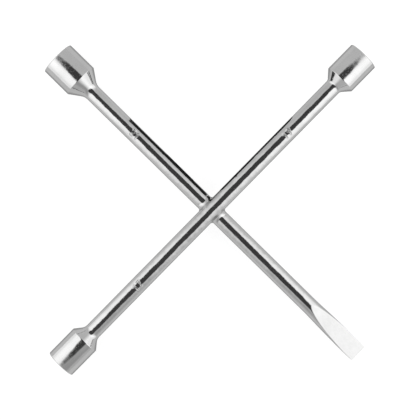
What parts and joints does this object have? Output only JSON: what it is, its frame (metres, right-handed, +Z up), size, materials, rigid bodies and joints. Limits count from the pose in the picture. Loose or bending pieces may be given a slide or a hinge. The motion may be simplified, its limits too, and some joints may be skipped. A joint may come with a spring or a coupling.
{
  "type": "four-way lug wrench",
  "caption": "Cross-shaped wheel nut wrench of chromed round bar, welded at the crossing, with hex sockets and a flat pry blade at its ends.",
  "frame": {"origin": "centre of the crossing, on the plane where the two bars meet", "axes": "+X along the upper bar to the 19 mm socket, +Y along the lower bar to the 21 mm socket, +Z up from the lower bar to the upper bar; the 17 mm socket is at -X and the pry blade at -Y"},
  "size_m": [0.356, 0.3493, 0.0358],
  "materials": {
    "bar_chrome": "bright chrome plate on drawn round steel bar",
    "socket_chrome": "bright chrome plate on forged steel, faintly turned",
    "weld_chrome": "bright chrome plate on dressed weld metal"
  },
  "bodies": {
    "root": {"upper_bar": "bar_chrome", "lower_bar": "bar_chrome", "centre_weld": "weld_chrome", "socket_17mm": "socket_chrome", "socket_19mm": "socket_chrome", "socket_21mm": "socket_chrome"}
  },
  "joints": []
}
